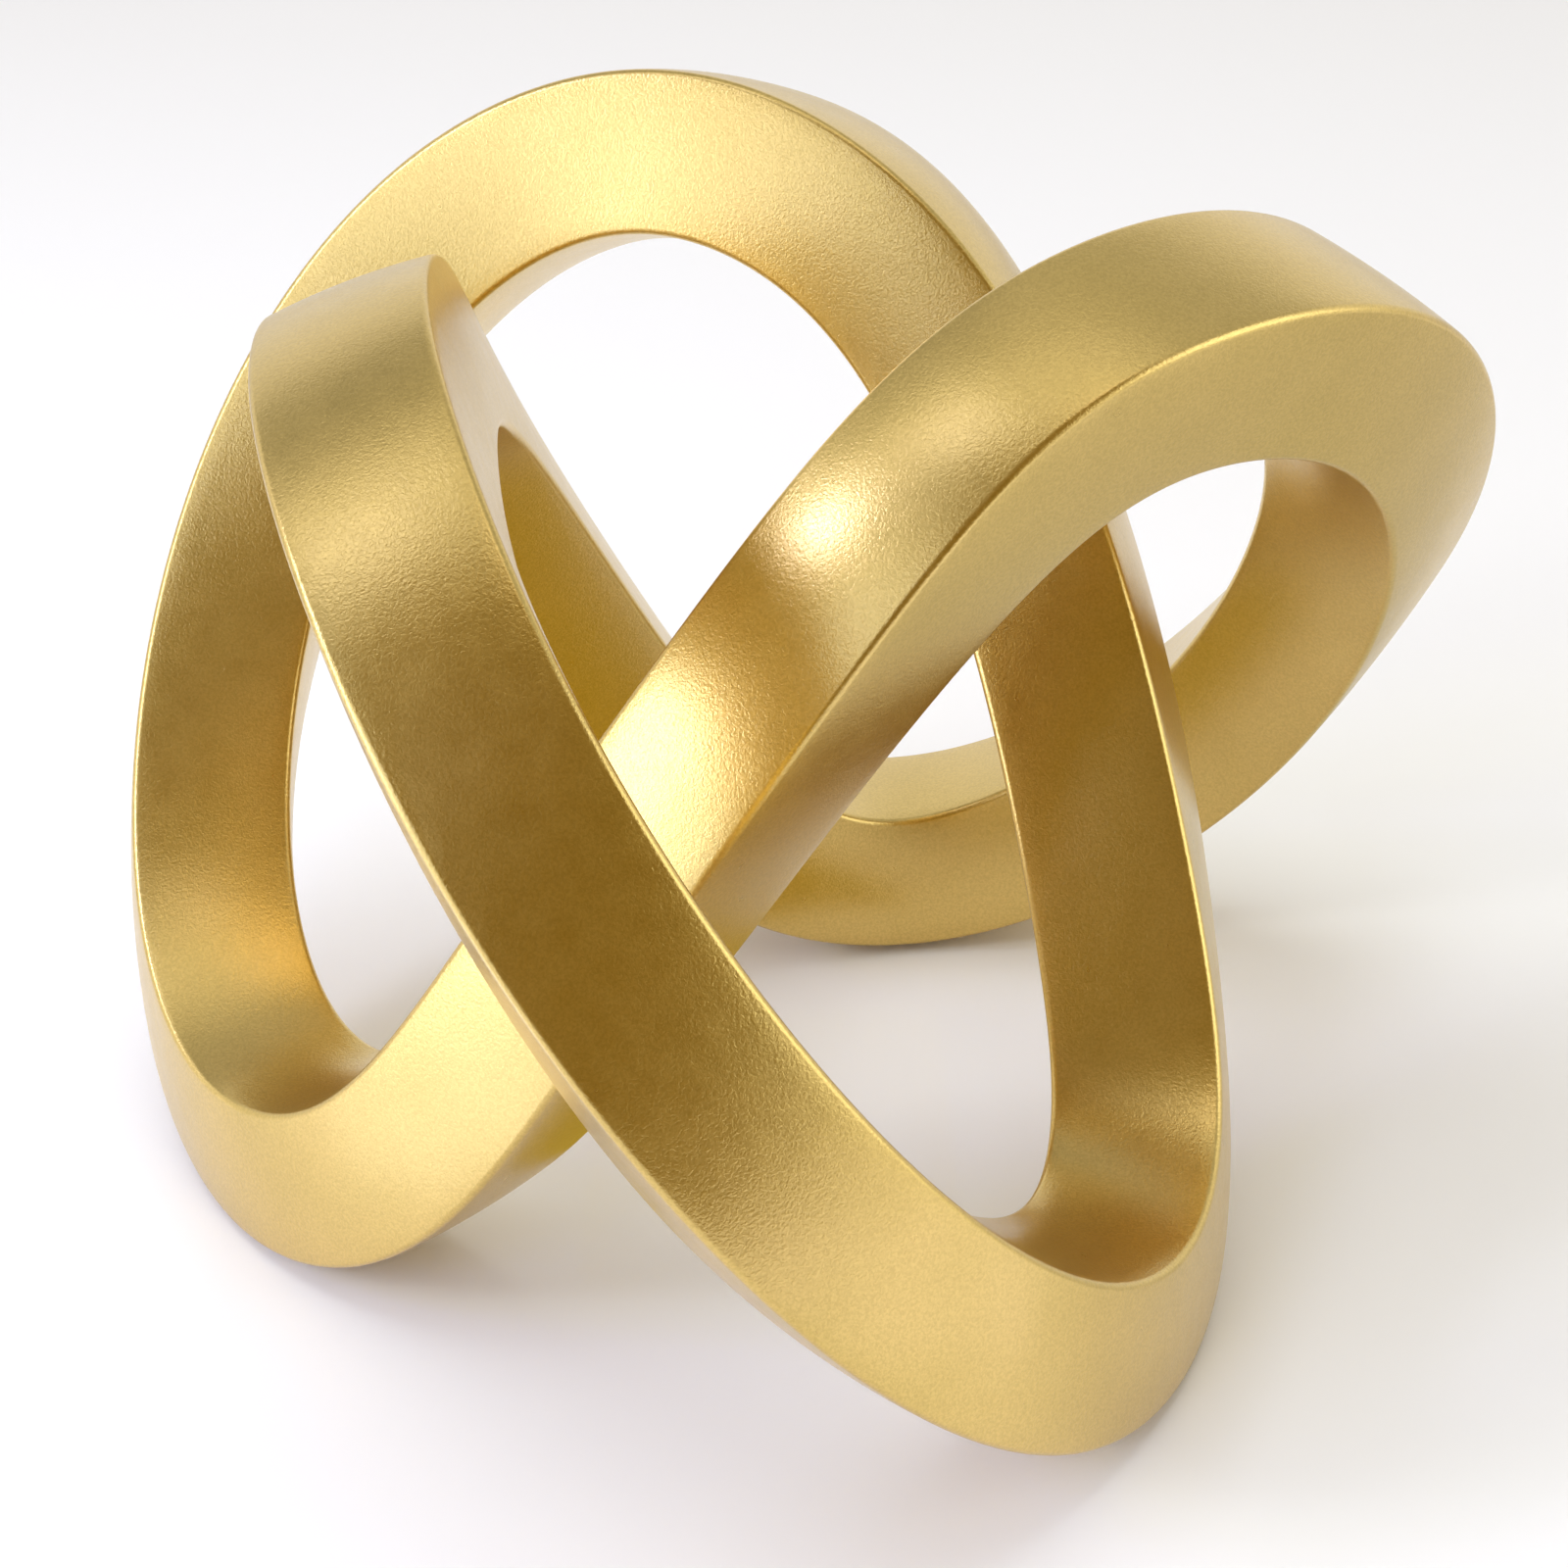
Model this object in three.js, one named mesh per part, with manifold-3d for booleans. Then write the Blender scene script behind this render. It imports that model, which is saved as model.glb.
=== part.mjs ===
import * as THREE from "three";
import { mergeVertices } from "three/addons/utils/BufferGeometryUtils.js";
import Module from "manifold-3d";

// A knot sculpture: one closed band of square section, tied as a trefoil.
// It climbs to three peaks, drops to three feet and is the same in each third of a turn about +Z.
// Each third is one casting. The castings meet end to end on dowels, and a felt pad is set into each foot.

// Sizes in millimetres, angles in degrees.

// The path of the band's centre. The phase runs 0 to 360 over each third of the band:
// 0 is halfway up the outer strand, 90 the peak, 180 halfway down the inner strand, 270 the foot.
// A size named for the strands moves the middle of both one way, and the peak and the foot the other.
const THIRDS = 3;
const PLAN_TURN_PER_THIRD = -240;
const START_BEARING = 141.1;

// Distance out from the upright axis.
const MEAN_RADIUS = 60;
const OUTER_TO_INNER_SWING = 21.7;
const PEAK_DRAWN_IN = 5.8;
const STRANDS_PUSHED_OUT = 5.5;
const STRANDS_PUSHED_OUT_LAG = -0.6;
const THIRD_RIPPLE_OUT = 1.4;

// Distance sideways, ahead in plan of the steady turn.
const SIDE_SWING_OUTER = 1.65;
const SIDE_SWING_PEAK = 3.6;
const SIDE_SWING_STRANDS = -1.65;
const SIDE_SWING_QUARTERS = 1;
const THIRD_RIPPLE_SIDE = 1.4;

// Height of the band's centre above and below its middle plane.
const RISE = 57.6;
const RISE_LEAN = 6;
const RISE_STRANDS = 2.7;
const RISE_FULLNESS = 1.9;
const RISE_FULLNESS_LAG = 0.95;

// The section: a square with softened edges, measured across the middles of its faces.
// Each face is slightly crowned, and turns by the face turn from its middle to its edge.
const BAND_WIDTH = 22.8;
const EDGE_RADIUS = 1;
const FACE_TURN = 4.5;

// The face above the outermost edge swells a little more over each falling strand.
// The swell is highest at one phase and fades out over the span to either side of it.
const SWELL = 0.7;
const SWELL_PHASE = 490;
const SWELL_SPAN = 50;

// The angle by which the section's outermost edge points above level.
const EDGE_TILT_MEAN = -12;
const EDGE_TILT_SWING = 38.2;
const EDGE_TILT_OUTER = 1.4;
const EDGE_TILT_QUARTERS = -7.3;
const EDGE_TILT_STRANDS = -2;
const EDGE_TILT_FULLNESS = -3.8;

// The part of a degree of phase over which the direction of the path is taken.
const PHASE_NUDGE = 0.01;

// Gap left between any two pieces that meet.
const FIT_GAP = 0.3;

// The joints, just past halfway down each inner strand where an outer strand crosses it, and their dowels.
const JOINT_PHASE = 204;
const DOWELS_PER_JOINT = 2;
const DOWEL_RADIUS = 2;
const DOWEL_LENGTH = 20;
const DOWEL_SPACING = 9;
const DOWEL_CHAMFER = 0.5;

// The felt pads, each set in a round recess under a foot.
const FOOT_SEARCH_FROM = 225;
const FOOT_SEARCH_TO = 330;
const FOOT_SEARCH_STEP = 0.25;
const PAD_RADIUS = 6;
const PAD_RECESS_DEPTH = 1.5;
const PAD_PROUD = 1;

// How finely the curves are drawn.
const STEPS_PER_CASTING = 60;
const STEPS_PER_FACE = 4;
const STEPS_PER_EDGE = 3;
const ROUND_SIDES = 24;

const SATIN_GOLD = { color: 0xc9ab68, roughness: 0.38, metalness: 0.9 };
const PLAIN_STEEL = { color: 0x9a9c9e, roughness: 0.35, metalness: 1 };
const BROWN_FELT = { color: 0x4a3b2e, roughness: 0.95, metalness: 0 };

const UP = new THREE.Vector3(0, 0, 1);

function sine(degrees) {
  return Math.sin(THREE.MathUtils.degToRad(degrees));
}

function cosine(degrees) {
  return Math.cos(THREE.MathUtils.degToRad(degrees));
}

function bandCentre(phase) {
  const out = MEAN_RADIUS
    + OUTER_TO_INNER_SWING * cosine(phase)
    - PEAK_DRAWN_IN * sine(phase)
    + STRANDS_PUSHED_OUT * cosine(2 * phase)
    + STRANDS_PUSHED_OUT_LAG * sine(2 * phase)
    + THIRD_RIPPLE_OUT * cosine(3 * phase);
  const side = SIDE_SWING_OUTER * cosine(phase)
    + SIDE_SWING_PEAK * sine(phase)
    + SIDE_SWING_STRANDS * cosine(2 * phase)
    + SIDE_SWING_QUARTERS * sine(2 * phase)
    + THIRD_RIPPLE_SIDE * sine(3 * phase);
  const height = RISE * sine(phase)
    + RISE_LEAN * sine(2 * phase)
    + RISE_STRANDS * cosine(2 * phase)
    + RISE_FULLNESS * sine(3 * phase)
    + RISE_FULLNESS_LAG * cosine(3 * phase);
  const bearing = START_BEARING + PLAN_TURN_PER_THIRD * phase / 360;
  return new THREE.Vector3(
    out * cosine(bearing) - side * sine(bearing),
    out * sine(bearing) + side * cosine(bearing),
    height
  );
}

function edgeTilt(phase) {
  return EDGE_TILT_MEAN
    + EDGE_TILT_SWING * sine(phase)
    + EDGE_TILT_OUTER * cosine(phase)
    + EDGE_TILT_QUARTERS * sine(2 * phase)
    + EDGE_TILT_STRANDS * cosine(2 * phase)
    + EDGE_TILT_FULLNESS * sine(3 * phase);
}

// The band at one phase: its centre, the way it runs, and two directions across it,
// one straight away from the upright axis and one square to that.
function bandFrame(phase) {
  const centre = bandCentre(phase);
  const along = bandCentre(phase + PHASE_NUDGE).sub(bandCentre(phase - PHASE_NUDGE)).normalize();
  const outward = new THREE.Vector3(centre.x, centre.y, 0);
  outward.addScaledVector(along, -outward.dot(along)).normalize();
  const over = new THREE.Vector3().crossVectors(along, outward);
  return { centre, along, outward, over };
}

// A direction across the band, turned from outward towards over.
function across(frame, degrees) {
  return new THREE.Vector3()
    .addScaledVector(frame.outward, cosine(degrees))
    .addScaledVector(frame.over, sine(degrees));
}

// The section's edge rounds are centred this far out from each of its middle lines,
// so that they carry on from the crowned faces, whose radius follows.
const BULGE = Math.tan(THREE.MathUtils.degToRad(FACE_TURN / 2));
const EDGE_CENTRE = (BAND_WIDTH / 2 - EDGE_RADIUS * (cosine(FACE_TURN) + sine(FACE_TURN) * BULGE)) / (1 + BULGE);
const FACE_RADIUS = (EDGE_CENTRE + EDGE_RADIUS * sine(FACE_TURN)) / sine(FACE_TURN);

// A quarter of the section's outline: one face, then the edge round that follows it.
// Each point has its distance out from the band's centre and its distance along the face.
function quarterOutline() {
  const quarter = [];
  for (let step = 0; step < STEPS_PER_FACE; step += 1) {
    const turned = FACE_TURN * (2 * step / STEPS_PER_FACE - 1);
    quarter.push({
      out: BAND_WIDTH / 2 - FACE_RADIUS * (1 - cosine(turned)),
      along: FACE_RADIUS * sine(turned)
    });
  }
  for (let step = 0; step < STEPS_PER_EDGE; step += 1) {
    const turned = FACE_TURN + (90 - 2 * FACE_TURN) * step / STEPS_PER_EDGE;
    quarter.push({
      out: EDGE_CENTRE + EDGE_RADIUS * cosine(turned),
      along: EDGE_CENTRE + EDGE_RADIUS * sine(turned)
    });
  }
  return quarter;
}

// How far the middle of the swollen face rises at one phase.
function swellAt(phase) {
  const away = Math.abs(phase - SWELL_PHASE);
  return away < SWELL_SPAN ? SWELL * (1 + cosine(180 * away / SWELL_SPAN)) / 2 : 0;
}

// The outline that the band has at one phase. Its first face is the one above the outermost edge.
function sectionPoints(phase) {
  const frame = bandFrame(phase);
  const points = [];
  for (let face = 0; face < 4; face += 1) {
    const facing = edgeTilt(phase) + 45 + 90 * face;
    const swell = face === 0 ? swellAt(phase) : 0;
    for (const { out, along } of quarterOutline()) {
      const fade = 1 - Math.min(1, Math.abs(along) / EDGE_CENTRE) ** 2;
      points.push(frame.centre.clone()
        .addScaledVector(across(frame, facing), out + swell * fade)
        .addScaledVector(across(frame, facing + 90), along));
    }
  }
  return points;
}

// The phase step that moves the band's centre by a given length.
function phaseStepFor(length, phase) {
  const travelPerDegree = bandCentre(phase + 0.5).distanceTo(bandCentre(phase - 0.5));
  return length / travelPerDegree;
}

// A closed solid swept along the band between two phases.
function sweptBand(fromPhase, toPhase) {
  const positions = [];
  const triangles = [];
  const ringSize = 4 * (STEPS_PER_FACE + STEPS_PER_EDGE);
  for (let step = 0; step <= STEPS_PER_CASTING; step += 1) {
    const phase = fromPhase + (toPhase - fromPhase) * step / STEPS_PER_CASTING;
    for (const point of sectionPoints(phase)) {
      positions.push(point.x, point.y, point.z);
    }
  }
  for (let step = 0; step < STEPS_PER_CASTING; step += 1) {
    for (let side = 0; side < ringSize; side += 1) {
      const near = step * ringSize + side;
      const nearNext = step * ringSize + (side + 1) % ringSize;
      const far = near + ringSize;
      const farNext = nearNext + ringSize;
      triangles.push(near, nearNext, farNext);
      triangles.push(near, farNext, far);
    }
  }
  const startCentre = positions.length / 3;
  const endCentre = startCentre + 1;
  positions.push(...bandCentre(fromPhase).toArray());
  positions.push(...bandCentre(toPhase).toArray());
  const lastRing = STEPS_PER_CASTING * ringSize;
  for (let side = 0; side < ringSize; side += 1) {
    const next = (side + 1) % ringSize;
    triangles.push(startCentre, next, side);
    triangles.push(endCentre, lastRing + side, lastRing + next);
  }
  const geometry = new THREE.BufferGeometry();
  geometry.setAttribute("position", new THREE.Float32BufferAttribute(positions, 3));
  geometry.setIndex(triangles);
  return geometry;
}

// A round bar centred at a point, its axis along a direction.
function roundBar(radius, length, centre, direction) {
  const bar = new THREE.CylinderGeometry(radius, radius, length, ROUND_SIDES);
  bar.applyQuaternion(new THREE.Quaternion().setFromUnitVectors(new THREE.Vector3(0, 1, 0), direction));
  bar.translate(centre.x, centre.y, centre.z);
  return bar;
}

const wasm = await Module();
wasm.setup();

function toManifold(geometry) {
  const bare = geometry.clone();
  bare.deleteAttribute("normal");
  bare.deleteAttribute("uv");
  const merged = mergeVertices(bare);
  return new wasm.Manifold(new wasm.Mesh({
    numProp: 3,
    vertProperties: new Float32Array(merged.attributes.position.array),
    triVerts: new Uint32Array(merged.index.array)
  }));
}

function toGeometry(manifold) {
  const mesh = manifold.getMesh();
  const geometry = new THREE.BufferGeometry();
  geometry.setAttribute("position", new THREE.BufferAttribute(new Float32Array(mesh.vertProperties), 3));
  geometry.setIndex(new THREE.BufferAttribute(new Uint32Array(mesh.triVerts), 1));
  geometry.computeVertexNormals();
  return geometry;
}

// The middle of the underside face, which the lower neighbour of the outermost edge bounds.
function undersideMiddle(phase) {
  const frame = bandFrame(phase);
  return frame.centre.addScaledVector(across(frame, edgeTilt(phase) - 45), BAND_WIDTH / 2);
}

function lowestUnderside() {
  let lowest = undersideMiddle(FOOT_SEARCH_FROM);
  for (let phase = FOOT_SEARCH_FROM; phase <= FOOT_SEARCH_TO; phase += FOOT_SEARCH_STEP) {
    const middle = undersideMiddle(phase);
    if (middle.z < lowest.z) {
      lowest = middle;
    }
  }
  return lowest;
}

// Dowel centres in one joint, side by side across the band.
function dowelCentres(phase) {
  const frame = bandFrame(phase);
  const sideways = across(frame, edgeTilt(phase) + 45);
  const centres = [];
  for (let dowel = 0; dowel < DOWELS_PER_JOINT; dowel += 1) {
    const offset = DOWEL_SPACING * (dowel - (DOWELS_PER_JOINT - 1) / 2);
    centres.push(frame.centre.clone().addScaledVector(sideways, offset));
  }
  return centres;
}

// One casting runs from the joint before a foot, round that foot, over a peak and down to the next joint.
const startPhase = JOINT_PHASE;
const endPhase = JOINT_PHASE + 360;
const startGap = phaseStepFor(FIT_GAP / 2, startPhase);
const endGap = phaseStepFor(FIT_GAP / 2, endPhase);
let casting = toManifold(sweptBand(startPhase + startGap, endPhase - endGap));

for (const jointPhase of [startPhase, endPhase]) {
  const along = bandFrame(jointPhase).along;
  for (const centre of dowelCentres(jointPhase)) {
    const hole = roundBar(DOWEL_RADIUS + FIT_GAP, DOWEL_LENGTH + 2 * FIT_GAP, centre, along);
    casting = casting.subtract(toManifold(hole));
  }
}

const footPoint = lowestUnderside();
const recessTop = footPoint.z + PAD_RECESS_DEPTH;
const recessBottom = footPoint.z - 2 * PAD_PROUD;
const recessCentre = new THREE.Vector3(footPoint.x, footPoint.y, (recessTop + recessBottom) / 2);
const recess = roundBar(PAD_RADIUS + FIT_GAP, recessTop - recessBottom, recessCentre, UP);
casting = casting.subtract(toManifold(recess));
const castingGeometry = toGeometry(casting);

const padTop = recessTop - FIT_GAP;
const padBottom = footPoint.z - PAD_PROUD;
const padCentre = new THREE.Vector3(footPoint.x, footPoint.y, (padTop + padBottom) / 2);
const padGeometry = roundBar(PAD_RADIUS, padTop - padBottom, padCentre, UP);

const dowelProfile = [
  new THREE.Vector2(0, -DOWEL_LENGTH / 2),
  new THREE.Vector2(DOWEL_RADIUS - DOWEL_CHAMFER, -DOWEL_LENGTH / 2),
  new THREE.Vector2(DOWEL_RADIUS, -DOWEL_LENGTH / 2 + DOWEL_CHAMFER),
  new THREE.Vector2(DOWEL_RADIUS, DOWEL_LENGTH / 2 - DOWEL_CHAMFER),
  new THREE.Vector2(DOWEL_RADIUS - DOWEL_CHAMFER, DOWEL_LENGTH / 2),
  new THREE.Vector2(0, DOWEL_LENGTH / 2)
];

function dowelGeometry(centre, direction) {
  const dowel = new THREE.LatheGeometry(dowelProfile, ROUND_SIDES);
  dowel.applyQuaternion(new THREE.Quaternion().setFromUnitVectors(new THREE.Vector3(0, 1, 0), direction));
  dowel.translate(centre.x, centre.y, centre.z);
  return dowel;
}

function piece(name, geometry, finish) {
  const mesh = new THREE.Mesh(geometry, new THREE.MeshStandardMaterial(finish));
  mesh.name = name;
  return mesh;
}

// Three like thirds, each turned about the upright axis by the band's plan turn.
const sculpture = new THREE.Group();
for (let third = 0; third < THIRDS; third += 1) {
  const set = new THREE.Group();
  set.add(piece(`band_casting_${third + 1}`, castingGeometry.clone(), SATIN_GOLD));
  set.add(piece(`foot_pad_${third + 1}`, padGeometry.clone(), BROWN_FELT));
  const joint = bandFrame(endPhase);
  dowelCentres(endPhase).forEach((centre, index) => {
    const name = `joint_${third + 1}_dowel_${index + 1}`;
    set.add(piece(name, dowelGeometry(centre, joint.along), PLAIN_STEEL));
  });
  set.rotation.z = THREE.MathUtils.degToRad(PLAN_TURN_PER_THIRD * third);
  sculpture.add(set);
}

// The origin lies on the resting plane, under the middle of the whole.
sculpture.updateMatrixWorld(true);
const bounds = new THREE.Box3().setFromObject(sculpture, true);
const middle = bounds.getCenter(new THREE.Vector3());
sculpture.position.set(-middle.x, -middle.y, -bounds.min.z);
sculpture.updateMatrixWorld(true);

export default sculpture;
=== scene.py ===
import math

import bpy
from mathutils import Matrix, Vector


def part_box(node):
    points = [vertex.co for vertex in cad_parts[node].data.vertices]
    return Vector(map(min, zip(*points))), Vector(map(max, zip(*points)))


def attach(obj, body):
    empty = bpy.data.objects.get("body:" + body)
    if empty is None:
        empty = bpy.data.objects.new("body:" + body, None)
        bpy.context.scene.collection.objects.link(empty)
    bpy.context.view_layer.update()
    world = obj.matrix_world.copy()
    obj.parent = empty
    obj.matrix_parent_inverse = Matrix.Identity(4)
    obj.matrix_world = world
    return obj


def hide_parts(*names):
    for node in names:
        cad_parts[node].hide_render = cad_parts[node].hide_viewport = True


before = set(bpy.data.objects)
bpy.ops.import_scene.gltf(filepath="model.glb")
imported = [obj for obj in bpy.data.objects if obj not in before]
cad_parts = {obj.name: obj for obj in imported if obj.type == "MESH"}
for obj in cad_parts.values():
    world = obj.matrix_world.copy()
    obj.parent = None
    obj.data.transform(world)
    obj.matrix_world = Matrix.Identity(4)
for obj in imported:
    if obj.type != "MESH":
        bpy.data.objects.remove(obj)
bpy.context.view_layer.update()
bpy.ops.object.select_all(action="DESELECT")


# The band castings.
# The sculpture is one closed band of square section, tied as a trefoil knot. It is cast in aluminium as
# three like thirds, each running round a foot and over a peak. They butt end to end, with dowels inside
# each joint, are dressed flush and are sprayed together in satin gold with a fine sandy grain.

MM = 0.001
THIRDS = 3
PLAN_TURN_PER_THIRD = -240
START_BEARING = 141.1
BAND_WIDTH = 22.8 * MM
EDGE_RADIUS = 1.0 * MM
JOINT_PHASE = 204
PHASE_NUDGE = 0.25

# The centre of the band, in millimetres: how far out it is from the upright axis, then how far to one side.
MEAN_RADIUS = 60
OUTER_TO_INNER_SWING = 21.7
PEAK_DRAWN_IN = 5.8
STRANDS_PUSHED_OUT = 5.5
STRANDS_PUSHED_OUT_LAG = -0.6
THIRD_RIPPLE_OUT = 1.4
SIDE_SWING_OUTER = 1.65
SIDE_SWING_PEAK = 3.6
SIDE_SWING_STRANDS = -1.65
SIDE_SWING_QUARTERS = 1
THIRD_RIPPLE_SIDE = 1.4

# Its height above and below its middle plane, in millimetres.
RISE = 57.6
RISE_LEAN = 6
RISE_STRANDS = 2.7
RISE_FULLNESS = 1.9
RISE_FULLNESS_LAG = 0.95

# The angle by which its outermost edge points above level, in degrees.
EDGE_TILT_MEAN = -12
EDGE_TILT_SWING = 38.2
EDGE_TILT_OUTER = 1.4
EDGE_TILT_QUARTERS = -7.3
EDGE_TILT_STRANDS = -2
EDGE_TILT_FULLNESS = -3.8


def sine(degrees):
    return math.sin(math.radians(degrees))


def cosine(degrees):
    return math.cos(math.radians(degrees))


# A phase of 0 is halfway up the outer strand, 90 the peak, 180 halfway down the inner strand, 270 the foot.
def band_centre(phase):
    out = (MEAN_RADIUS + OUTER_TO_INNER_SWING * cosine(phase) - PEAK_DRAWN_IN * sine(phase)
           + STRANDS_PUSHED_OUT * cosine(2 * phase) + STRANDS_PUSHED_OUT_LAG * sine(2 * phase)
           + THIRD_RIPPLE_OUT * cosine(3 * phase))
    side = (SIDE_SWING_OUTER * cosine(phase) + SIDE_SWING_PEAK * sine(phase)
            + SIDE_SWING_STRANDS * cosine(2 * phase) + SIDE_SWING_QUARTERS * sine(2 * phase)
            + THIRD_RIPPLE_SIDE * sine(3 * phase))
    height = (RISE * sine(phase) + RISE_LEAN * sine(2 * phase) + RISE_STRANDS * cosine(2 * phase)
              + RISE_FULLNESS * sine(3 * phase) + RISE_FULLNESS_LAG * cosine(3 * phase))
    bearing = START_BEARING + PLAN_TURN_PER_THIRD * phase / 360
    return MM * Vector((
        out * cosine(bearing) - side * sine(bearing),
        out * sine(bearing) + side * cosine(bearing),
        height))


def edge_tilt(phase):
    return (EDGE_TILT_MEAN + EDGE_TILT_SWING * sine(phase) + EDGE_TILT_OUTER * cosine(phase)
            + EDGE_TILT_QUARTERS * sine(2 * phase) + EDGE_TILT_STRANDS * cosine(2 * phase)
            + EDGE_TILT_FULLNESS * sine(3 * phase))


# The way the band runs, the way straight out from the upright axis, and the way square to both.
def band_directions(phase):
    along = (band_centre(phase + PHASE_NUDGE) - band_centre(phase - PHASE_NUDGE)).normalized()
    centre = band_centre(phase)
    outward = Vector((centre.x, centre.y, 0))
    outward = (outward - along * outward.dot(along)).normalized()
    return along, outward, along.cross(outward)


def across(phase, degrees):
    along, outward, over = band_directions(phase)
    return outward * cosine(degrees) + over * sine(degrees)


def underside_middle(phase):
    return band_centre(phase) + across(phase, edge_tilt(phase) - 45) * BAND_WIDTH / 2


# The knot's upright axis stands in the middle of the three pads. Its middle plane is at the height that
# leaves PAD_PROUD for the pads between the lowest turns and the table.
PAD_PROUD = 1.0 * MM
FOOT_SEARCH_FROM = 225
FOOT_SEARCH_TO = 330
FOOT_SEARCH_STEP = 0.25

pad_boxes = [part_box(f"foot_pad_{third + 1}") for third in range(THIRDS)]
pad_centres = [(low + high) / 2 for low, high in pad_boxes]
search_steps = round((FOOT_SEARCH_TO - FOOT_SEARCH_FROM) / FOOT_SEARCH_STEP)
foot_phases = [FOOT_SEARCH_FROM + FOOT_SEARCH_STEP * step for step in range(search_steps + 1)]
foot_point = min((underside_middle(phase) for phase in foot_phases), key=lambda point: point.z)
knot_middle = sum(pad_centres, Vector()) / THIRDS
knot_middle.z = PAD_PROUD - foot_point.z

# The section is a square with softened edges, whose faces are slightly crowned. Each face turns by
# FACE_TURN from its middle to its edge, and the edge's round carries on from there.
FACE_TURN = 4.5
STEPS_PER_FACE = 10
STEPS_PER_EDGE = 6

# The height of a face's crown, as a share of half the face's width. Then how far the middle of an edge's
# round lies out from both of the section's middle lines.
bulge = math.tan(math.radians(FACE_TURN / 2))
edge_centre = ((BAND_WIDTH / 2 - EDGE_RADIUS * cosine(FACE_TURN) - EDGE_RADIUS * sine(FACE_TURN) * bulge)
               / (1 + bulge))
face_radius = (edge_centre + EDGE_RADIUS * sine(FACE_TURN)) / sine(FACE_TURN)
outline = []
for corner in range(4):
    facing = 90 * corner
    for step in range(STEPS_PER_FACE):
        turned = FACE_TURN * (2 * step / STEPS_PER_FACE - 1)
        face_out = BAND_WIDTH / 2 - face_radius * (1 - cosine(turned))
        face_along = face_radius * sine(turned)
        outline.append((face_out * cosine(facing) - face_along * sine(facing),
                        face_out * sine(facing) + face_along * cosine(facing)))
    for step in range(STEPS_PER_EDGE):
        turned = facing + FACE_TURN + (90 - 2 * FACE_TURN) * step / STEPS_PER_EDGE
        middle_x = edge_centre * (cosine(facing) - sine(facing))
        middle_y = edge_centre * (sine(facing) + cosine(facing))
        outline.append((middle_x + EDGE_RADIUS * cosine(turned), middle_y + EDGE_RADIUS * sine(turned)))
section_curve = bpy.data.curves.new("band_section", "CURVE")
section_curve.dimensions = "2D"
section_line = section_curve.splines.new("POLY")
section_line.points.add(len(outline) - 1)
for point, (x, y) in zip(section_line.points, outline):
    point.co = (x, y, 0, 1)
section_line.use_cyclic_u = True
section = bpy.data.objects.new("band_section", section_curve)
bpy.context.scene.collection.objects.link(section)

# One casting is drawn by the section along its third of the path. Its first and last steps are short, so
# that the path leaves both ends almost square to the joints.
SECTIONS_PER_CASTING = 480
END_STEP = 0.2


# The way the drawn path runs at one of its points, between the points before and after it.
def path_direction(before, phase, after):
    arriving = (band_centre(phase) - band_centre(before)).normalized()
    leaving = (band_centre(after) - band_centre(phase)).normalized()
    return (arriving + leaving).normalized()


# The turn that sets a corner of the section on the band's outermost edge, where the path runs one way.
def section_turn(phase, along):
    edge = across(phase, edge_tilt(phase))
    sideways = along.cross(Vector((0, 0, 1))).normalized()
    upward = sideways.cross(along)
    return math.radians(45) - math.atan2(edge.dot(upward), edge.dot(sideways))


path = bpy.data.curves.new("band_path", "CURVE")
path.dimensions = "3D"
path.twist_mode = "Z_UP"
path.bevel_mode = "OBJECT"
path.bevel_object = section
phases = [JOINT_PHASE + 360 * step / SECTIONS_PER_CASTING for step in range(SECTIONS_PER_CASTING + 1)]
phases.insert(1, phases[0] + END_STEP)
phases.insert(-1, phases[-1] - END_STEP)
spline = path.splines.new("POLY")
spline.points.add(len(phases) - 1)
for index, phase in enumerate(phases):
    before = phases[max(index - 1, 0)]
    after = phases[min(index + 1, len(phases) - 1)]
    spline.points[index].co = (*band_centre(phase), 1)
    spline.points[index].tilt = section_turn(phase, path_direction(before, phase, after))
first_casting = bpy.data.objects.new("casting_1", path)
bpy.context.scene.collection.objects.link(first_casting)
bpy.ops.object.select_all(action="DESELECT")
first_casting.select_set(True)
bpy.context.view_layer.objects.active = first_casting
bpy.ops.object.convert(target="MESH")
bpy.data.objects.remove(section)

# The face above the outermost edge swells a little over each falling strand. Its points are told from the
# others by how far they lie out from the band's centre.
SWELL = 0.7 * MM
SWELL_PHASE = 490
SWELL_SPAN = 50
SWOLLEN_FACE_DEPTH = 0.6 * MM

ring_points = first_casting.data.vertices
for ring, phase in enumerate(phases):
    if abs(phase - SWELL_PHASE) < SWELL_SPAN:
        rise = SWELL * (1 + cosine(180 * (phase - SWELL_PHASE) / SWELL_SPAN)) / 2
        out_way = across(phase, edge_tilt(phase) + 45)
        along_way = across(phase, edge_tilt(phase) + 135)
        for point in ring_points[ring * len(outline):(ring + 1) * len(outline)]:
            from_centre = point.co - band_centre(phase)
            spot = from_centre.dot(along_way) / edge_centre
            if from_centre.dot(out_way) > BAND_WIDTH / 2 - SWOLLEN_FACE_DEPTH and abs(spot) < 1:
                point.co += out_way * rise * (1 - spot ** 2)

# Both ends are dressed square to the band, so that the castings meet without a line, and are then closed.
end_rings = ((ring_points[:len(outline)], phases[0]), (ring_points[-len(outline):], phases[-1]))
for end_points, end_phase in end_rings:
    along_band = band_directions(end_phase)[0]
    for point in end_points:
        point.co -= along_band * (point.co - band_centre(end_phase)).dot(along_band)
bpy.ops.object.mode_set(mode="EDIT")
bpy.ops.mesh.select_all(action="SELECT")
bpy.ops.mesh.fill_holes(sides=0)
bpy.ops.mesh.normals_make_consistent(inside=False)
bpy.ops.object.mode_set(mode="OBJECT")

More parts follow.
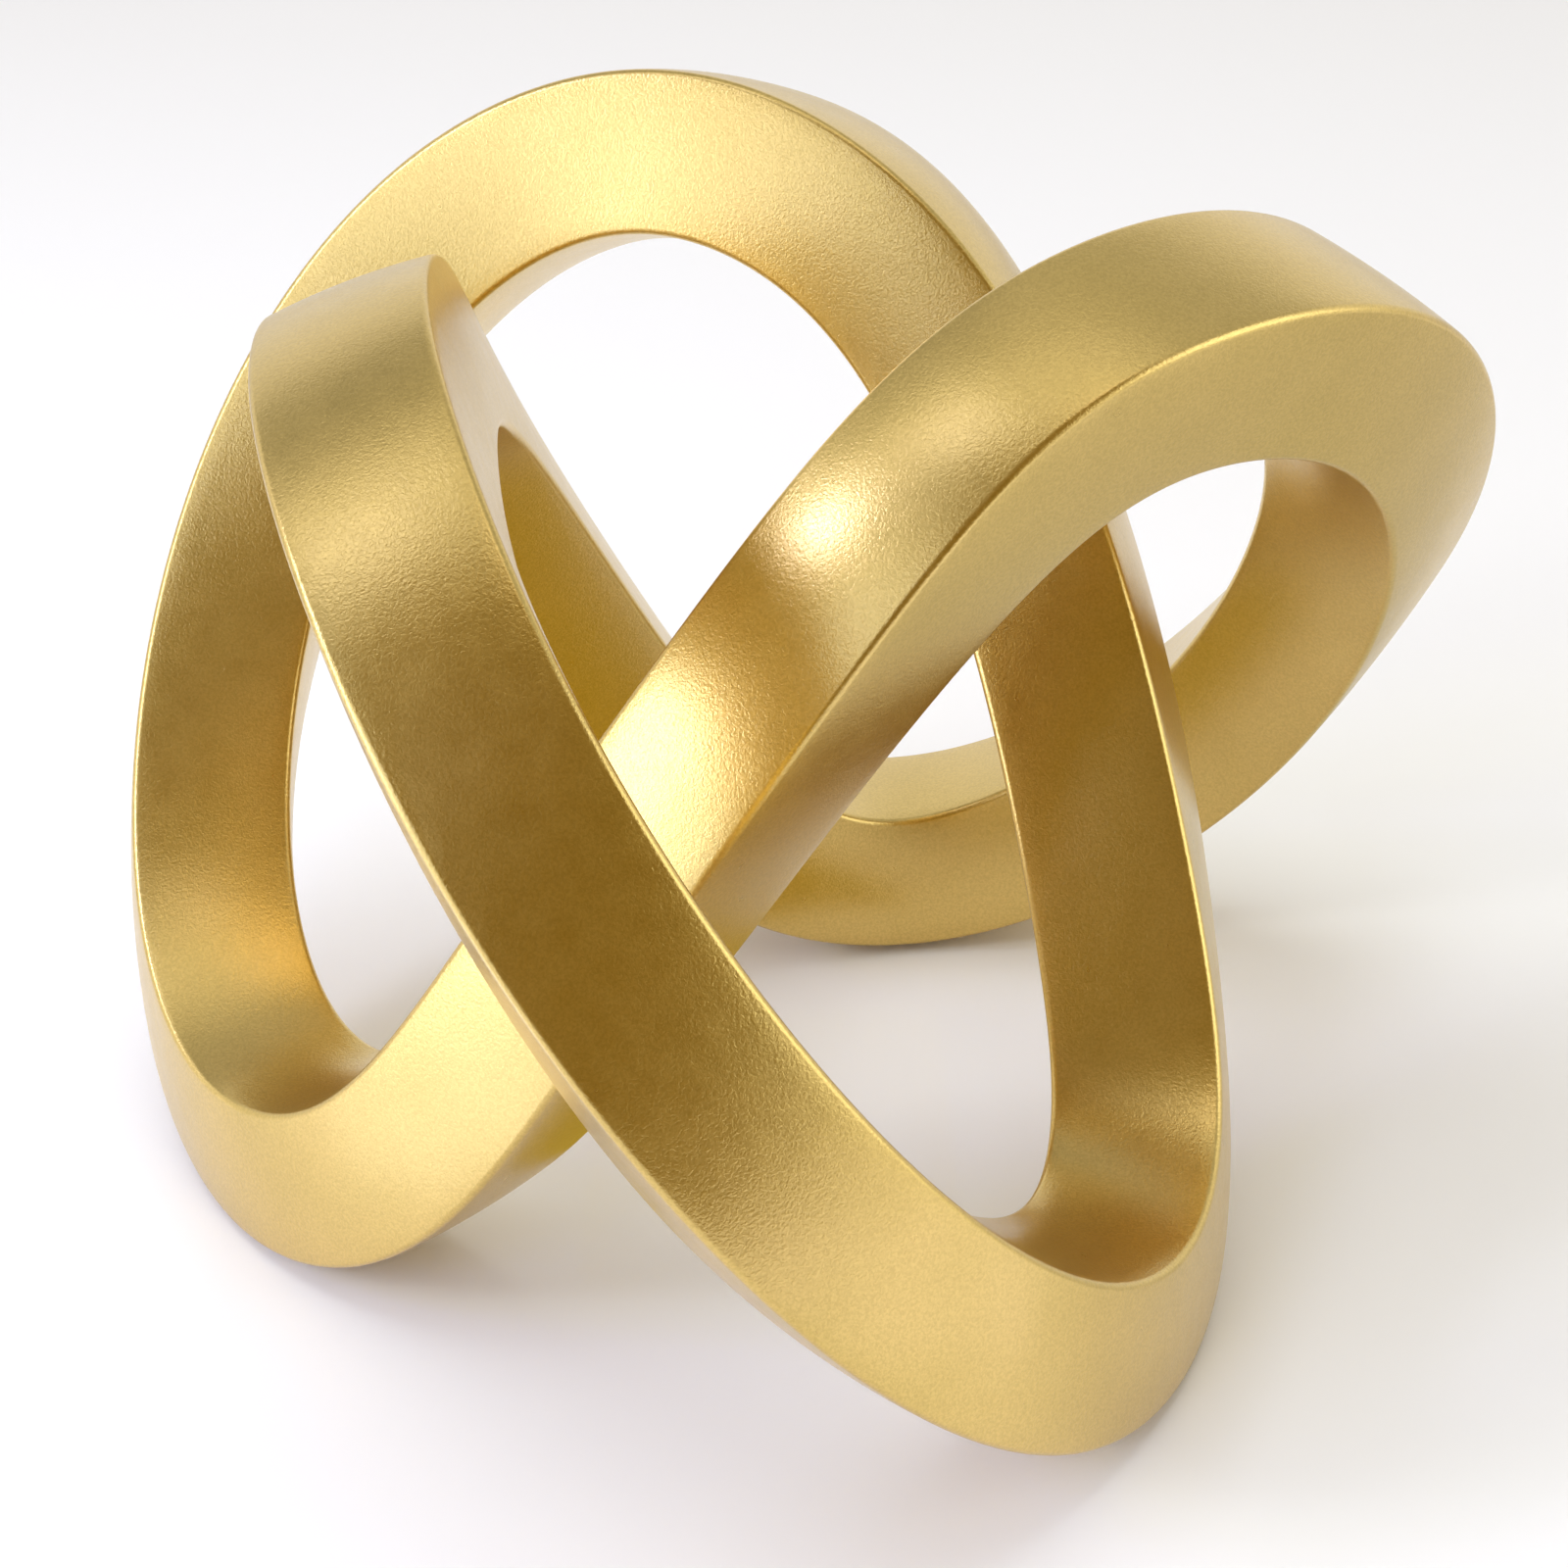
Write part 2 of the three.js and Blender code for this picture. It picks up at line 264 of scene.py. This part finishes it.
# Each end is bored for the dowels, and the lowest turn for its felt pad. METAL_CREASE is the angle in
# degrees past which a metal edge stays crisp.
DOWEL_RADIUS = 2.0 * MM
DOWEL_LENGTH = 20 * MM
DOWEL_SPACING = 9 * MM
DOWEL_CLEARANCE = 0.1 * MM
PAD_RADIUS = 6 * MM
PAD_RECESS_DEPTH = 1.5 * MM
PAD_CLEARANCE = 0.3 * MM
BORE_SIDES = 64
METAL_CREASE = 40


# The turn that lays a cylinder, which is made upright, along another axis.
def turn_to(axis):
    return axis.to_track_quat("Z", "Y").to_matrix().to_4x4()


# Cuts a round hole into a casting.
def bore(casting, name, radius, length, centre, axis):
    bpy.ops.mesh.primitive_cylinder_add(vertices=BORE_SIDES, radius=radius, depth=length)
    cutter = bpy.context.object
    cutter.name = name
    cutter.data.transform(Matrix.Translation(centre) @ turn_to(axis))
    cut = casting.modifiers.new(name, "BOOLEAN")
    cut.operation = "DIFFERENCE"
    cut.solver = "EXACT"
    cut.object = cutter
    bpy.context.view_layer.objects.active = casting
    bpy.ops.object.modifier_apply(modifier=name)
    bpy.data.objects.remove(cutter)


# The middle of a dowel, to one side of the band's centre or the other.
def dowel_middle(joint_phase, side):
    aside = across(joint_phase, edge_tilt(joint_phase) + 45) * side * DOWEL_SPACING / 2
    return band_centre(joint_phase) + aside


for joint_phase in (JOINT_PHASE, JOINT_PHASE + 360):
    for side in (-1, 1):
        bore(first_casting, "dowel_bore", DOWEL_RADIUS + DOWEL_CLEARANCE, DOWEL_LENGTH + 2 * DOWEL_CLEARANCE,
             dowel_middle(joint_phase, side), band_directions(joint_phase)[0])
bore(first_casting, "pad_recess", PAD_RADIUS + PAD_CLEARANCE, 2 * PAD_RECESS_DEPTH,
     foot_point, Vector((0, 0, 1)))
bpy.ops.object.select_all(action="DESELECT")
first_casting.select_set(True)
bpy.ops.object.shade_smooth_by_angle(angle=math.radians(METAL_CREASE))


# The move that takes a piece from the third of the knot as drawn to its place on that third or another.
def third_place(third):
    third_turn = Matrix.Rotation(math.radians(PLAN_TURN_PER_THIRD * third), 4, "Z")
    return Matrix.Translation(knot_middle) @ third_turn


castings = [first_casting]
for third in range(1, THIRDS):
    like_casting = bpy.data.objects.new(f"casting_{third + 1}", first_casting.data.copy())
    bpy.context.scene.collection.objects.link(like_casting)
    castings.append(like_casting)
for third, casting in enumerate(castings):
    casting.data.transform(third_place(third))

# Satin gold: flakes under a thin clear lacquer, over a cast skin with a sandy grain of about 0.4 mm.
GRAIN_SIZE = 0.38 * MM
GRAIN_HEIGHT = 0.042 * MM
MOTTLE_SIZE = 3.5 * MM
CLOUD_SIZE = 14 * MM
DEEP_GOLD = (0.64, 0.45, 0.11, 1)
PALE_GOLD = (0.75, 0.53, 0.155, 1)
# The next colour is painted shade, multiplied into the grain's hollows. It fades out over the grain between
# HOLLOWS_AT and CRESTS_AT.
PAINTED_HOLLOW_SHADE = (0.66, 0.62, 0.50, 1)
HOLLOWS_AT = 0.35
CRESTS_AT = 0.65
HOLLOW_SHADING = 0.4
CREST_SHADING = 0.0
SATIN_LEAST = 0.25
SATIN_MOST = 0.35
LACQUER = 0.35
LACQUER_ROUGHNESS = 0.2
LACQUER_INDEX = 2.0


def new_finish(name):
    finish = bpy.data.materials.new(name)
    finish.use_nodes = True
    return finish, finish.node_tree.nodes["Principled BSDF"]


# An uneven pattern that is fixed to the piece.
def pattern(tree, size, detail, distortion=0.0):
    place = tree.nodes.new("ShaderNodeTexCoord")
    noise = tree.nodes.new("ShaderNodeTexNoise")
    noise.inputs["Scale"].default_value = 1 / size
    noise.inputs["Detail"].default_value = detail
    noise.inputs["Distortion"].default_value = distortion
    tree.links.new(place.outputs["Object"], noise.inputs["Vector"])
    return noise.outputs["Fac"]


# The source's values from start to end become those from least to most.
def spread(tree, source, least, most, start=0.0, end=1.0):
    reach = tree.nodes.new("ShaderNodeMapRange")
    reach.inputs["From Min"].default_value = start
    reach.inputs["From Max"].default_value = end
    reach.inputs["To Min"].default_value = least
    reach.inputs["To Max"].default_value = most
    tree.links.new(source, reach.inputs["Value"])
    return reach.outputs[0]


# The first colour is a fixed one or another node's.
def colour_mix(tree, factor, first, second, way="MIX"):
    mix = tree.nodes.new("ShaderNodeMix")
    mix.data_type = "RGBA"
    mix.blend_type = way
    mix.inputs["B"].default_value = second
    tree.links.new(factor, mix.inputs["Factor"])
    if isinstance(first, bpy.types.NodeSocket):
        tree.links.new(first, mix.inputs["A"])
    else:
        mix.inputs["A"].default_value = first
    return mix.outputs["Result"]


def relief(tree, source, depth):
    bump = tree.nodes.new("ShaderNodeBump")
    bump.inputs["Strength"].default_value = 1.0
    bump.inputs["Distance"].default_value = depth
    tree.links.new(source, bump.inputs["Height"])
    return bump.outputs["Normal"]


gold, gold_shader = new_finish("satin_gold")
gold_tree = gold.node_tree
gold_shader.inputs["Metallic"].default_value = 1.0
gold_shader.inputs["Coat Weight"].default_value = LACQUER
gold_shader.inputs["Coat Roughness"].default_value = LACQUER_ROUGHNESS
gold_shader.inputs["Coat IOR"].default_value = LACQUER_INDEX
grain = pattern(gold_tree, GRAIN_SIZE, detail=1.8, distortion=0.6)
mottle = pattern(gold_tree, MOTTLE_SIZE, detail=2.0)
cloud = pattern(gold_tree, CLOUD_SIZE, detail=2.0)
grain_relief = relief(gold_tree, grain, GRAIN_HEIGHT)
gold_tree.links.new(grain_relief, gold_shader.inputs["Normal"])
gold_tree.links.new(grain_relief, gold_shader.inputs["Coat Normal"])
satin = spread(gold_tree, mottle, SATIN_LEAST, SATIN_MOST)
gold_tree.links.new(satin, gold_shader.inputs["Roughness"])

# The hollows of the grain are painted a little darker than its crests: painted shade, laid over the gold's
# own tone.
painted_grain_shade = spread(gold_tree, grain, HOLLOW_SHADING, CREST_SHADING, HOLLOWS_AT, CRESTS_AT)
tone = colour_mix(gold_tree, cloud, DEEP_GOLD, PALE_GOLD)
flake_tone_and_painted_shade = colour_mix(gold_tree, painted_grain_shade, tone, PAINTED_HOLLOW_SHADE, way="MULTIPLY")
gold_tree.links.new(flake_tone_and_painted_shade, gold_shader.inputs["Base Color"])

for third, casting in enumerate(castings):
    casting.data.materials.append(gold)
    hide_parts(f"band_casting_{third + 1}")
    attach(casting, "root")


# The dowels.
# Two plain ground-steel pins in each joint, side by side across the band, keep the castings in line while
# the bond sets. They are sealed inside the band when the joint closes.

DOWEL_SIDES = 64
DOWEL_CHAMFER = 0.5 * MM
SCRATCH_SIZE = 0.3 * MM
STEEL_GREY = (0.42, 0.43, 0.44, 1)
GROUND_LEAST = 0.22
GROUND_MOST = 0.42

steel, steel_shader = new_finish("ground_steel")
steel_shader.inputs["Base Color"].default_value = STEEL_GREY
steel_shader.inputs["Metallic"].default_value = 1.0
scratches = pattern(steel.node_tree, SCRATCH_SIZE, detail=3)
scratched = spread(steel.node_tree, scratches, GROUND_LEAST, GROUND_MOST)
steel.node_tree.links.new(scratched, steel_shader.inputs["Roughness"])


# Selects the edges round both flat ends of an upright disc or pin, and leaves it in edit mode for a bevel.
def select_rims(piece, length):
    bpy.ops.object.mode_set(mode="EDIT")
    bpy.ops.mesh.select_mode(type="EDGE")
    bpy.ops.mesh.select_all(action="DESELECT")
    bpy.ops.object.mode_set(mode="OBJECT")
    for edge in piece.data.edges:
        ends = [piece.data.vertices[index].co for index in edge.vertices]
        edge.select = abs(ends[0].z - ends[1].z) < length / 2
    bpy.ops.object.mode_set(mode="EDIT")


last_joint = JOINT_PHASE + 360
for third in range(THIRDS):
    for number, side in enumerate((-1, 1)):
        bpy.ops.mesh.primitive_cylinder_add(vertices=DOWEL_SIDES, radius=DOWEL_RADIUS, depth=DOWEL_LENGTH)
        dowel = bpy.context.object
        dowel.name = f"joint_{third + 1}_pin_{number + 1}"
        select_rims(dowel, DOWEL_LENGTH)
        bpy.ops.mesh.bevel(offset=DOWEL_CHAMFER, segments=3, profile=0.5, affect="EDGES")
        bpy.ops.object.mode_set(mode="OBJECT")
        bpy.ops.object.shade_smooth_by_angle(angle=math.radians(METAL_CREASE))
        dowel.data.transform(third_place(third) @ Matrix.Translation(dowel_middle(last_joint, side))
                             @ turn_to(band_directions(last_joint)[0]))
        dowel.data.materials.append(steel)
        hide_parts(f"joint_{third + 1}_dowel_{number + 1}")
        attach(dowel, "root")


# The foot pads.
# A round of brown wool felt is pressed into a shallow recess under each low turn, so that the paint
# doesn't touch the table. The die leaves its rim a little soft and the cut fibres stand proud.

PAD_THICKNESS = PAD_RECESS_DEPTH - PAD_CLEARANCE + PAD_PROUD
PAD_SIDES = 96
PAD_RIM = 0.35 * MM
PAD_RINGS = 5
PAD_CREASE = 60
FIBRE_LIFT = 0.03 * MM
FIBRE_SIZE = 0.25 * MM
FIBRE_DEPTH = 0.08 * MM
DARK_FELT = (0.045, 0.028, 0.018, 1)
LIGHT_FELT = (0.105, 0.068, 0.045, 1)

felt, felt_shader = new_finish("brown_felt")
felt_tree = felt.node_tree
felt_shader.inputs["Roughness"].default_value = 0.95
felt_shader.inputs["Sheen Weight"].default_value = 0.3
felt_shader.inputs["Specular IOR Level"].default_value = 0.1
fibres = pattern(felt_tree, FIBRE_SIZE, detail=4, distortion=1.5)
felt_tone = colour_mix(felt_tree, fibres, DARK_FELT, LIGHT_FELT)
felt_tree.links.new(felt_tone, felt_shader.inputs["Base Color"])
felt_tree.links.new(relief(felt_tree, fibres, FIBRE_DEPTH), felt_shader.inputs["Normal"])

for third in range(THIRDS):
    bpy.ops.mesh.primitive_cylinder_add(vertices=PAD_SIDES, radius=PAD_RADIUS, depth=PAD_THICKNESS)
    pad = bpy.context.object
    pad.name = f"felt_pad_{third + 1}"
    select_rims(pad, PAD_THICKNESS)
    bpy.ops.mesh.bevel(offset=PAD_RIM, segments=4, profile=0.5, affect="EDGES")
    bpy.ops.mesh.select_mode(type="FACE")
    bpy.ops.mesh.select_all(action="DESELECT")
    bpy.ops.object.mode_set(mode="OBJECT")
    for face in pad.data.polygons:
        face.select = len(face.vertices) == PAD_SIDES
    bpy.ops.object.mode_set(mode="EDIT")
    for ring in range(PAD_RINGS):
        bpy.ops.mesh.inset(thickness=(PAD_RADIUS - PAD_RIM) / (PAD_RINGS + 1))
    bpy.ops.mesh.select_all(action="SELECT")
    bpy.ops.transform.vertex_random(offset=FIBRE_LIFT, uniform=1, seed=third)
    bpy.ops.object.mode_set(mode="OBJECT")
    bpy.ops.object.shade_smooth_by_angle(angle=math.radians(PAD_CREASE))
    pad_middle = foot_point + Vector((0, 0, PAD_THICKNESS / 2 - PAD_PROUD))
    pad.data.transform(third_place(third) @ Matrix.Translation(pad_middle))
    pad.data.materials.append(felt)
    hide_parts(f"foot_pad_{third + 1}")
    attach(pad, "root")


# The floor.
# The sculpture stands on a wide sheet of pale matt paper. The sheet lies flat and runs on past the edges of
# the picture.

FLOOR_SIDE = 6
PAPER_WHITE = (0.95, 0.95, 0.95, 1)

bpy.ops.mesh.primitive_plane_add(size=FLOOR_SIDE)
floor = bpy.context.object
floor.name = "floor"
paper, paper_shader = new_finish("pale_paper")
paper_shader.inputs["Base Color"].default_value = PAPER_WHITE
paper_shader.inputs["Roughness"].default_value = 0.42
paper_shader.inputs["Specular IOR Level"].default_value = 0.5
floor.data.materials.append(paper)


# The room.
# Its walls and ceiling are white to the camera and in every reflection. The light that they shed on the
# floor and the felt is weaker, and it is warm near the floor.

ROOM_LIGHT = 0.54
FULL_LIGHT = 1
LOW_WALL = (1, 0.66, 0.32, 1)
CEILING_WHITE = (1, 0.98, 0.92, 1)
PLAIN_WHITE = (1, 1, 1, 1)

world = bpy.data.worlds.new("studio")
bpy.context.scene.world = world
world.use_nodes = True
world_tree = world.node_tree
background = world_tree.nodes["Background"]
rays = world_tree.nodes.new("ShaderNodeLightPath")
seen_or_mirrored = world_tree.nodes.new("ShaderNodeMath")
seen_or_mirrored.operation = "ADD"
world_tree.links.new(rays.outputs["Is Camera Ray"], seen_or_mirrored.inputs[0])
world_tree.links.new(rays.outputs["Is Glossy Ray"], seen_or_mirrored.inputs[1])
seen_at_all = world_tree.nodes.new("ShaderNodeMath")
seen_at_all.operation = "ADD"
seen_at_all.use_clamp = True
world_tree.links.new(seen_or_mirrored.outputs[0], seen_at_all.inputs[0])
world_tree.links.new(rays.outputs["Is Transmission Ray"], seen_at_all.inputs[1])
level = spread(world_tree, seen_at_all.outputs[0], ROOM_LIGHT, FULL_LIGHT)
world_tree.links.new(level, background.inputs["Strength"])

room_place = world_tree.nodes.new("ShaderNodeTexCoord")
room_height = world_tree.nodes.new("ShaderNodeSeparateXYZ")
world_tree.links.new(room_place.outputs["Generated"], room_height.inputs["Vector"])
climb = world_tree.nodes.new("ShaderNodeMath")
climb.operation = "SQRT"
world_tree.links.new(room_height.outputs["Z"], climb.inputs[0])
wall_to_ceiling = colour_mix(world_tree, climb.outputs[0], LOW_WALL, CEILING_WHITE)
room_tint = colour_mix(world_tree, seen_at_all.outputs[0], wall_to_ceiling, PLAIN_WHITE)
world_tree.links.new(room_tint, background.inputs["Color"])


# The soft boxes.
# Bright ones stand high and low on the left, with dimmer ones in front of them, on the right and overhead.
# The overhead one and the small key light reach the floor and the felt alone, and don't show in the gold.

DAYLIGHT = (0.95, 1.0, 1.0)
HIGH_LIGHT = (0.95, 1.0, 1.75)
BOX_LIGHT = (0.95, 1.0, 1.4)
WINDOW_LIGHT = (0.82, 1.05, 1.9)


# The bearing is taken from straight behind the sculpture, round by the right. The box's face is turned to
# a point over the middle of the floor.
def soft_box(name, colour, brightness, bearing, distance, height, width, tall, aim_height=0.0):
    place = Vector((distance * sine(bearing), distance * cosine(bearing), height))
    lamp = bpy.data.lights.new(name, "AREA")
    lamp.shape = "RECTANGLE"
    lamp.color = colour
    lamp.size = width
    lamp.size_y = tall
    lamp.energy = brightness * math.pi * width * tall
    holder = bpy.data.objects.new(name, lamp)
    bpy.context.scene.collection.objects.link(holder)
    holder.location = place
    holder.rotation_euler = (Vector((0, 0, aim_height)) - place).to_track_quat("-Z", "Y").to_euler()
    return holder


soft_box("left_high_soft_box", HIGH_LIGHT, brightness=7.5,
         bearing=-101, distance=0.9, height=0.68, width=0.24, tall=0.26, aim_height=0.1)
soft_box("left_low_soft_box", BOX_LIGHT, brightness=5.0,
         bearing=-107, distance=0.9, height=0.23, width=0.2, tall=0.46, aim_height=0.22)
soft_box("left_front_soft_box", WINDOW_LIGHT, brightness=0.72,
         bearing=-128, distance=0.9, height=0.3, width=0.33, tall=0.5, aim_height=0.3)
soft_box("left_front_high_soft_box", WINDOW_LIGHT, brightness=3.6,
         bearing=-152, distance=0.9, height=0.6, width=0.26, tall=0.3, aim_height=0.1)
soft_box("right_soft_box", DAYLIGHT, brightness=1.3,
         bearing=108, distance=1.0, height=0.5, width=0.7, tall=0.9, aim_height=0.5)
soft_box("top_left_soft_box", BOX_LIGHT, brightness=1.5,
         bearing=-110, distance=0.44, height=1.0, width=0.26, tall=0.26, aim_height=0.1)
overhead = soft_box("overhead_soft_box", DAYLIGHT, brightness=2.35,
                    bearing=-60, distance=0.12, height=1.1, width=0.8, tall=0.8)
overhead.visible_glossy = False
key = soft_box("key_soft_box", DAYLIGHT, brightness=16,
               bearing=-112, distance=0.87, height=0.5, width=0.2, tall=0.2)
key.visible_glossy = False


# The cards.
# They stand and lie round the sculpture, show only in reflections, and shape what the gold mirrors: warm
# dark ones in front, bright and dark ones on the table, and grey ones with two brighter ones overhead.

TABLE_CARD_HEIGHT = 0.002
CEILING_HEIGHT = 1.15
HUNG_CARD_HEIGHT = 1.12
WARM_DARK = (0.29, 0.19, 0.03)


def studio_card(name, colour, corners):
    mesh = bpy.data.meshes.new(name)
    mesh.from_pydata(corners, [], [(0, 1, 2, 3)])
    card = bpy.data.objects.new(name, mesh)
    bpy.context.scene.collection.objects.link(card)
    board, board_shader = new_finish(name)
    board_shader.inputs["Base Color"].default_value = (0, 0, 0, 1)
    board_shader.inputs["Specular IOR Level"].default_value = 0
    board_shader.inputs["Emission Color"].default_value = (*colour, 1)
    board_shader.inputs["Emission Strength"].default_value = 1
    mesh.materials.append(board)
    card.visible_camera = False
    card.visible_diffuse = False
    card.visible_shadow = False


def level_card(name, colour, height, left, right, front, back):
    studio_card(name, colour, [(left, front, height), (right, front, height),
                               (right, back, height), (left, back, height)])


studio_card("front_card", WARM_DARK,
            [(-0.5, -0.95, 0), (0.86, -0.95, 0), (0.6, -0.37, 1.13), (-0.4, -0.37, 1.13)])
studio_card("left_front_card", (0.42, 0.3, 0.05),
            [(-0.36, -0.743, 0.38), (-0.24, -0.743, 0.38), (-0.24, -0.62, 0.62), (-0.36, -0.62, 0.62)])
studio_card("table_edge_card", WARM_DARK,
            [(-0.5, -0.95, TABLE_CARD_HEIGHT), (0.86, -0.95, TABLE_CARD_HEIGHT),
             (0.5, -0.31, TABLE_CARD_HEIGHT), (-0.2, -0.34, TABLE_CARD_HEIGHT)])
level_card("right_table_card", (1.3, 1.3, 1.5), TABLE_CARD_HEIGHT,
           left=0.07, right=0.22, front=-0.27, back=-0.08)
studio_card("left_table_card", (1.75, 1.85, 2.4),
            [(-0.5, -0.25, TABLE_CARD_HEIGHT), (-0.084, -0.09, TABLE_CARD_HEIGHT),
             (-0.1, -0.035, TABLE_CARD_HEIGHT), (-0.5, -0.03, TABLE_CARD_HEIGHT)])
# A warm dark card under the knot's middle is painted shade: it stands for the floor in the sculpture's
# shadow, as the gold mirrors it.
level_card("centre_shade_card", (0.5, 0.36, 0.05), TABLE_CARD_HEIGHT,
           left=-0.03, right=0.022, front=-0.02, back=0.05)
# A grey card on the right is painted shade: it stands for the streak of the sculpture's shadow on the floor
# there, as the gold mirrors it.
level_card("right_shade_card", (0.72, 0.71, 0.68), TABLE_CARD_HEIGHT,
           left=0.09, right=0.32, front=-0.05, back=0.12)
level_card("left_ceiling_card", (0.43, 0.43, 0.43), CEILING_HEIGHT,
           left=-1.3, right=-0.25, front=0.22, back=1.2)
level_card("left_front_ceiling_card", (0.5, 0.5, 0.5), CEILING_HEIGHT,
           left=-1.2, right=-0.36, front=-0.85, back=-0.16)
level_card("front_top_card", (2.4, 2.2, 2.0), HUNG_CARD_HEIGHT,
           left=0.02, right=0.3, front=-0.34, back=-0.15)
level_card("right_ceiling_card", (0.58, 0.58, 0.57), CEILING_HEIGHT,
           left=-0.25, right=1.3, front=-0.33, back=1.2)
level_card("zenith_card", (1.1, 1.1, 1.08), HUNG_CARD_HEIGHT,
           left=-0.2, right=0.25, front=-0.15, back=0.25)


# The camera.
# It stands in front of the sculpture and looks down on it from close by. PITCH, YAW and ROLL turn it away
# from a straight look at the knot's middle, and LENS_PIXELS is its focal length at IMAGE_PIXELS a side.

LENS_HEIGHT_ANGLE = 26.7785
PITCH = 1.651
YAW = -0.3788
ROLL = -1.2944
LENS_DISTANCE = 0.4504
LENS_PIXELS = 3505.24
IMAGE_PIXELS = 1600
SENSOR_WIDTH = 36
NEAREST_SEEN = 0.01

lens = bpy.data.cameras.new("camera")
lens.sensor_fit = "AUTO"
lens.sensor_width = SENSOR_WIDTH
lens.lens = SENSOR_WIDTH * LENS_PIXELS / IMAGE_PIXELS
lens.clip_start = NEAREST_SEEN
camera = bpy.data.objects.new("camera", lens)
bpy.context.scene.collection.objects.link(camera)
eye = knot_middle + LENS_DISTANCE * Vector((0, -cosine(LENS_HEIGHT_ANGLE), sine(LENS_HEIGHT_ANGLE)))
back = Vector((sine(YAW) * cosine(LENS_HEIGHT_ANGLE + PITCH),
               -cosine(YAW) * cosine(LENS_HEIGHT_ANGLE + PITCH),
               sine(LENS_HEIGHT_ANGLE + PITCH)))
right = Vector((cosine(YAW), sine(YAW), 0))
up = back.cross(right)
camera_x = right * cosine(ROLL) + up * sine(ROLL)
camera_y = up * cosine(ROLL) - right * sine(ROLL)
camera.matrix_world = Matrix((
    (camera_x.x, camera_y.x, back.x, eye.x),
    (camera_x.y, camera_y.y, back.y, eye.y),
    (camera_x.z, camera_y.z, back.z, eye.z),
    (0, 0, 0, 1)))
bpy.context.scene.camera = camera
bpy.context.scene.view_settings.view_transform = "Standard"
